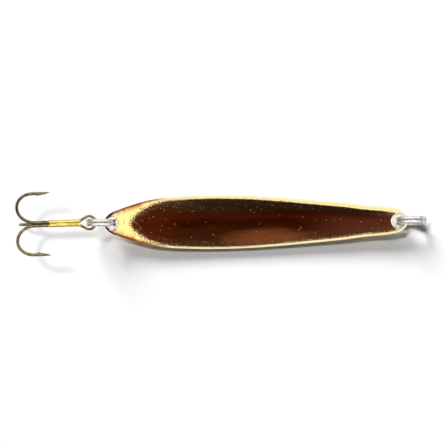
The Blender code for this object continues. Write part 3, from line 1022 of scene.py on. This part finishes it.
def double_wire(settings):
    """The wire that makes the eye and two hooks: one half drawn, then mirrored."""
    loop = EYE_INNER + settings.eye_wire / MM / 2.0
    leg = Vector((NECK_U, LEG_Y))
    tangent = math.atan2(leg.y, leg.x) + math.acos(loop / leg.length)
    start = Vector((loop, 0.0, LEG_Z)) * MM
    heading = Vector((0.0, 1.0, 0.0))
    wire = start_wire("double_hook", start, heading, settings.eye_wire / 2.0)
    loop_deg = 180.0 - math.degrees(tangent)
    spin_selected(loop_deg, 28, centre=Vector((0.0, 0.0, LEG_Z)) * MM, axis=UP)

    entry = wire_end(wire)
    corner = Vector((-NECK_U, LEG_Y, LEG_Z)) * MM
    way = (corner - entry).normalized()
    growth = (settings.wire / settings.eye_wire) ** 0.25
    straight = (corner - entry).length - NECK_CORNER * MM
    draw_wire(wire, way * straight * 0.5, growth)
    draw_wire(wire, way * straight * 0.5, growth)
    turn = math.atan2(-way.y, -way.x)
    bend = NECK_CORNER * MM / math.tan(turn / 2.0)
    right = Vector((way.y, -way.x, 0.0))
    spin_selected(-math.degrees(turn), 10, centre=wire_end(wire) + right * bend, axis=UP)
    draw_wire(wire, Vector((-0.3 * MM, 0.0, 0.0)), growth)
    draw_wire(wire, Vector((-0.3 * MM, 0.0, 0.0)), growth)
    draw_hook(wire, LEFT_DEG, settings)
    start_fresh()
    close_and_turn_out(wire)
    mirror_across_y(wire)
    close_and_turn_out(wire)
    raise_barb(wire, LEFT_DEG, settings)
    raise_barb(wire, RIGHT_DEG, settings)
    return wire


def single_wire(settings):
    """The third hook's own wire, which starts inside the braze."""
    down = hook_direction(LOWER_DEG)
    start = Vector((-SINGLE_START_U, 0.0, 0.0)) * MM + down * WIRE_FROM_AXIS * MM
    heading = Vector((-1.0, 0.0, 0.0))
    wire = start_wire("single_hook", start, heading, 0.75 * settings.wire / 2.0)
    draw_wire(wire, heading * 0.12 * MM, 1.0 / 0.75)
    draw_hook(wire, LOWER_DEG, settings)
    cap_open_end()
    close_and_turn_out(wire)
    raise_barb(wire, LOWER_DEG, settings)
    return wire


def bronze_finish(settings):
    """Bronze lacquer over steel wire, worn brighter in places, with painted shade at the wire's
    edges.
    """
    finish, tree, shader = new_finish("bronzed_steel_finish", settings.bronze, 0.28)
    place = object_place(tree)
    cloud = noise(tree, place, 0.7, 4.0, 0.6)
    dark = (0.09, 0.065, 0.03, 1.0)
    bright = (0.55, 0.47, 0.22, 1.0)
    base = mix(tree, remap(tree, cloud, 0.3, 0.55), dark, settings.bronze)
    colour = mix(tree, remap(tree, cloud, 0.55, 0.8), base, bright)
    # Painted shade along the wire's edges.
    colour = paint_edge_shade(tree, colour, 0.75, (0.05, 0.038, 0.018, 1.0))
    gloss = vary(tree, noise(tree, place, 3.0, 3.0, 0.6), 0.18, 0.38)
    grain = noise(tree, object_place(tree, stretch=(3.0, 0.5, 0.5)), 2.0, 3.0, 0.6)
    connect(tree, shader, colour, gloss, bump(tree, grain, 0.25, 0.04))
    return finish


# ---- braze

BRAZE_FROM_U = 2.1
BRAZE_TO_U = 11.8
BRAZE_ROWS = 110
BRAZE_SIDES = 96
BRAZE_SOFTNESS = 0.05
NECK_BEND_RADIUS = 2.95
NECK_END_U = 3.7


def leg_spread(u):
    """How far a leg of the eye lies from the middle, where the neck opens out."""
    into_neck = min(max(NECK_END_U - u, 0.0) / NECK_BEND_RADIUS, 0.95)
    return LEG_Y + NECK_BEND_RADIUS * (1.0 - math.sqrt(1.0 - into_neck**2))


def braze_lift(u):
    """Height of the braze's middle, which rises to the legs' own height towards the eye."""
    return LEG_Z * (1.0 - smooth_step(3.0, 4.4, u))


def braze_radius(angle_deg, u, settings):
    """Radius of the braze: a coat over each wire, and a fill in the grooves between them."""
    angle = math.radians(angle_deg)
    ends = min(u - BRAZE_FROM_U, BRAZE_TO_U - u)
    coat = settings.coat / MM * smooth_step(-0.05, 0.4, ends)
    coat += 0.02 * math.sin(1.9 * u + 2.0 * angle) * smooth_step(0.0, 0.6, ends)
    wire = settings.wire / MM / 2.0 - 0.05 * (1.0 - smooth_step(2.2, 3.4, u))
    spread, height = leg_spread(u), LEG_Z - braze_lift(u)
    wires = [(spread, height, wire + coat), (-spread, height, wire + coat)]
    single = (wire + coat) * smooth_step(3.0, 4.0, u)
    wires.append((0.0, -WIRE_FROM_AXIS * smooth_step(2.8, 3.8, u), single))
    fill = 0.33 + 0.2 * smooth_step(3.0, 4.2, u)
    fill += 0.2 * smooth_step(5.6, 7.2, u) * (1.0 - smooth_step(8.8, 10.4, u))
    web = min(fill / max(abs(math.sin(angle)), 0.01), spread / max(abs(math.cos(angle)), 0.01))
    total = math.exp(web / BRAZE_SOFTNESS)
    for across, up, reach in wires:
        along = across * math.cos(angle) + up * math.sin(angle)
        aside = across * math.sin(angle) - up * math.cos(angle)
        inside = reach**2 - aside**2
        if along > 0.0 and inside > 0.0:
            total += math.exp((along + math.sqrt(inside)) / BRAZE_SOFTNESS)
    return math.log(total) * BRAZE_SOFTNESS


def braze_sleeve(settings):
    """The brass round the three shanks, which runs up between the legs of the eye."""
    start_fresh()
    bpy.ops.mesh.primitive_grid_add(
        x_subdivisions=BRAZE_SIDES, y_subdivisions=BRAZE_ROWS, size=2.0
    )
    sleeve = name_new("brass_braze_sleeve")
    for vertex in sleeve.data.vertices:
        angle_deg = 180.0 * (vertex.co.x + 1.0)
        angle = math.radians(angle_deg)
        share = (vertex.co.y + 1.0) / 2.0
        u = BRAZE_FROM_U + share * (BRAZE_TO_U - BRAZE_FROM_U)
        rows_in = min(share, 1.0 - share) * BRAZE_ROWS
        closing = math.sin(min(rows_in / 3.0, 1.0) * math.pi / 2.0)
        radius = braze_radius(angle_deg, u, settings) * closing
        lift = braze_lift(u)
        ragged = 0.14 * math.sin(3.0 * angle + 1.0) + 0.08 * math.sin(7.0 * angle)
        u += ragged * smooth_step(0.9, 1.0, share) * closing
        creep = 0.45 * (1.0 - closing * abs(math.cos(angle)))
        u += creep * (1.0 - smooth_step(0.0, 0.08, share))
        place = Vector((-u, 0.0, lift)) + hook_direction(angle_deg) * radius
        vertex.co = place * MM
    close_and_turn_out(sleeve, merge=1e-6)
    shade(sleeve, 60.0)
    return sleeve


def braze_finish(settings):
    """Bright brass with dull flux-brown in random patches, and painted shade where the surface
    turns away from the eye.
    """
    finish, tree, shader = new_finish("braze_brass_finish", settings.braze, 0.2)
    place = object_place(tree, stretch=(2.0, 1.0, 1.0))
    cloud = noise(tree, place, 1.4, 4.0, 0.65)
    dull = (0.42, 0.22, 0.03, 1.0)
    colour = mix(tree, remap(tree, cloud, 0.5, 0.75), settings.braze, dull)
    # Painted shade along the braze's edges and grooves.
    colour = paint_edge_shade(tree, colour, 0.8, (0.20, 0.11, 0.01, 1.0))
    gloss = remap(tree, cloud, 0.3, 0.75, 0.14, 0.36)
    lumps = noise(tree, place, 1.1, 3.0, 0.55)
    connect(tree, shader, colour, gloss, bump(tree, lumps, 0.5, 0.08))
    return finish


# ---- stage


def lay_floor(settings):
    start_fresh()
    bpy.ops.mesh.primitive_plane_add(size=6.0, location=(0.0, 0.0, 0.0))
    floor = name_new("studio_floor")
    finish, _, shader = new_finish("matt_floor", settings.floor, 0.9, metallic=0.0)
    shader.inputs["Specular IOR Level"].default_value = 0.0
    wear(floor, finish)


# Each sun: its name, the way it shines, its share of the strength and its share of the softness.
SUNS = (
    ("steep_light", Vector((0.36, -0.31, -1.0)), 0.33, 0.3),
    ("low_light", Vector((0.60, -1.25, -1.0)), 0.67, 1.0),
)
SUN_DISTANCE = 0.8
# Colours of the surroundings, for surfaces that they light and for the camera.
LIGHTING_GREY = (0.055, 0.058, 0.07, 1.0)
CAMERA_GREY = (0.8, 0.8, 0.8, 1.0)
CAMERA_PLACE = (0.000135, -0.00053, 0.5)
CAMERA_TURN_DEG = -0.44


def low_light_blockers():
    """What the low light is shadowed by: the blade and its rings, but not the high treble."""
    blockers = bpy.data.collections.new("low_light_blockers")
    for name in ("gilt_blade", "head_ring_wire", "tail_ring_wire"):
        if name in bpy.data.objects:
            blockers.objects.link(bpy.data.objects[name])
    return blockers


def add_suns(settings):
    """A steep sun and a lower, softer one; both lay the shadow to the lower right."""
    for name, travel, share, spread in SUNS:
        start_fresh()
        turn = travel.to_track_quat("-Z", "Y").to_euler()
        bpy.ops.object.light_add(type="SUN", location=-SUN_DISTANCE * travel, rotation=turn)
        light = bpy.context.object
        light.name = name
        light.data.energy = settings.sun * share * travel.length
        light.data.angle = spread * settings.softness
        light.visible_glossy = False
        if name == "low_light":
            light.light_linking.blocker_collection = low_light_blockers()


def light_surroundings():
    """A studio that is bright overhead in reflections, dim as a light and pale to the camera."""
    world = bpy.data.worlds.new("studio")
    bpy.context.scene.world = world
    world.use_nodes = True
    tree = world.node_tree
    background = tree.nodes["Background"]
    direction = add_node(tree, "ShaderNodeTexCoord").outputs["Generated"]
    parts = split_axes(tree, direction)
    height = ramp(tree, parts["Z"], (
        (0.0, 0.18), (0.2, 0.4), (0.5, 0.85), (0.75, 1.0), (0.93, 1.02), (1.0, 1.0),
    ))
    side = math_node(tree, "MULTIPLY_ADD", parts["Y"], 0.5)
    side.node.inputs[2].default_value = 0.5
    sideways = ramp(tree, side, (
        (0.0, 0.2), (0.1, 0.22), (0.25, 0.5), (0.42, 0.9), (0.5, 1.0), (0.75, 1.0), (0.9, 1.1),
    ))
    both = mix(tree, 1.0, height, sideways, "MULTIPLY")
    rays = add_node(tree, "ShaderNodeLightPath").outputs
    bounced = mix(tree, rays["Is Diffuse Ray"], both, LIGHTING_GREY)
    pale = mix(tree, rays["Is Camera Ray"], bounced, CAMERA_GREY)
    tree.links.new(pale, background.inputs["Color"])
    background.inputs["Strength"].default_value = 1.25


def add_camera():
    """A long lens straight above the lure, turned to lay the blade a little off level."""
    turn = (0.0, 0.0, math.radians(CAMERA_TURN_DEG))
    bpy.ops.object.camera_add(location=CAMERA_PLACE, rotation=turn)
    camera = bpy.context.object
    camera.name = "overhead_camera"
    camera.data.lens = 136.7
    camera.data.sensor_width = 36.0
    camera.data.clip_start = 0.01
    bpy.context.scene.camera = camera


# ---- operators


class LURE_OT_blade(bpy.types.Operator):
    """Build the dished blade with its two countersunk holes"""

    bl_idname = "lure.blade"
    bl_label = "Blade"

    def execute(self, context):
        blade = blade_half()
        close_and_turn_out(blade)
        mirror_across_y(blade)
        close_and_turn_out(blade)
        for hole in (TAIL_HOLE, HEAD_HOLE):
            drill_hole(blade, hole)
        close_and_turn_out(blade)
        mark_bowl(blade)
        shade(blade, 34.0)
        wear(blade, gilt_finish(context.scene.lure_blade))
        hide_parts("blade")
        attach(blade, "blade")
        return {"FINISHED"}


class LURE_OT_split_rings(bpy.types.Operator):
    """Wind the split ring once and place a copy at each end of the blade"""

    bl_idname = "lure.split_rings"
    bl_label = "Split rings"

    def execute(self, context):
        settings = context.scene.lure_rings
        finish = nickel_finish(settings)
        head, start_deg = wind_ring(settings)
        tail = head.copy()
        tail.data = head.data.copy()
        context.scene.collection.objects.link(tail)
        ends = ((head, "head", 0.0, HEAD_RING_LEAN_DEG), (tail, "tail", 90.0, 0.0))
        for ring, end, step_at_deg, lean_deg in ends:
            ring.name = end + "_ring_wire"
            turn = Matrix.Rotation(math.radians(step_at_deg + start_deg), 4, "Y")
            lean = Matrix.Rotation(math.radians(-lean_deg), 4, "X")
            settle(ring, Matrix.Translation(box_middle(end + "_split_ring")) @ lean @ turn)
            wear(ring, finish)
            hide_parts(end + "_split_ring")
            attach(ring, end + "_ring")
        return {"FINISHED"}


class LURE_OT_hook_wires(bpy.types.Operator):
    """Draw the treble's two wires: the double one with the eye, and the single one"""

    bl_idname = "lure.hook_wires"
    bl_label = "Hook wires"

    def execute(self, context):
        settings = context.scene.lure_treble
        finish = bronze_finish(settings)
        wires = ((double_wire, "double_hook_wire"), (single_wire, "single_hook_wire"))
        for make, node in wires:
            wire = make(settings)
            close_and_turn_out(wire)
            shade(wire, 50.0)
            settle(wire, treble_place())
            wear(wire, finish)
            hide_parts(node)
            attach(wire, "treble")
        return {"FINISHED"}


class LURE_OT_braze(bpy.types.Operator):
    """Lay the brass that holds the treble's shanks together"""

    bl_idname = "lure.braze"
    bl_label = "Braze"

    def execute(self, context):
        settings = context.scene.lure_treble
        sleeve = braze_sleeve(settings)
        settle(sleeve, treble_place())
        wear(sleeve, braze_finish(settings))
        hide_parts("brass_braze")
        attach(sleeve, "treble")
        return {"FINISHED"}


class LURE_OT_stage(bpy.types.Operator):
    """Lay the floor and set the lights and the camera"""

    bl_idname = "lure.stage"
    bl_label = "Stage"

    def execute(self, context):
        settings = context.scene.lure_stage
        lay_floor(settings)
        add_suns(settings)
        light_surroundings()
        add_camera()
        context.scene.view_settings.view_transform = "Standard"
        return {"FINISHED"}


class LURE_PT_panel(bpy.types.Panel):
    bl_idname = "LURE_PT_panel"
    bl_label = "Casting Spoon Lure"
    bl_space_type = "VIEW_3D"
    bl_region_type = "UI"
    bl_category = "Lure"

    def draw(self, context):
        for group, operators in PANEL_PARTS:
            box = self.layout.box()
            settings = getattr(context.scene, group)
            for name in settings.__annotations__:
                box.prop(settings, name)
            for operator in operators:
                box.operator(operator.bl_idname)


PANEL_PARTS = (
    ("lure_blade", (LURE_OT_blade,)),
    ("lure_rings", (LURE_OT_split_rings,)),
    ("lure_treble", (LURE_OT_hook_wires, LURE_OT_braze)),
    ("lure_stage", (LURE_OT_stage,)),
)
SETTINGS = {
    "lure_blade": BladeSettings,
    "lure_rings": RingSettings,
    "lure_treble": TrebleSettings,
    "lure_stage": StageSettings,
}
OPERATORS = [operator for _, operators in PANEL_PARTS for operator in operators]


def register():
    for group in (*SETTINGS.values(), *OPERATORS, LURE_PT_panel):
        bpy.utils.register_class(group)
    for name, group in SETTINGS.items():
        setattr(bpy.types.Scene, name, bpy.props.PointerProperty(type=group))


def unregister():
    for name in SETTINGS:
        delattr(bpy.types.Scene, name)
    for group in (LURE_PT_panel, *reversed(OPERATORS), *SETTINGS.values()):
        bpy.utils.unregister_class(group)


def main():
    register()
    bpy.ops.lure.blade()
    bpy.ops.lure.split_rings()
    bpy.ops.lure.hook_wires()
    bpy.ops.lure.braze()
    bpy.ops.lure.stage()
    start_fresh()
    bpy.context.view_layer.update()


if __name__ == "__main__":
    main()
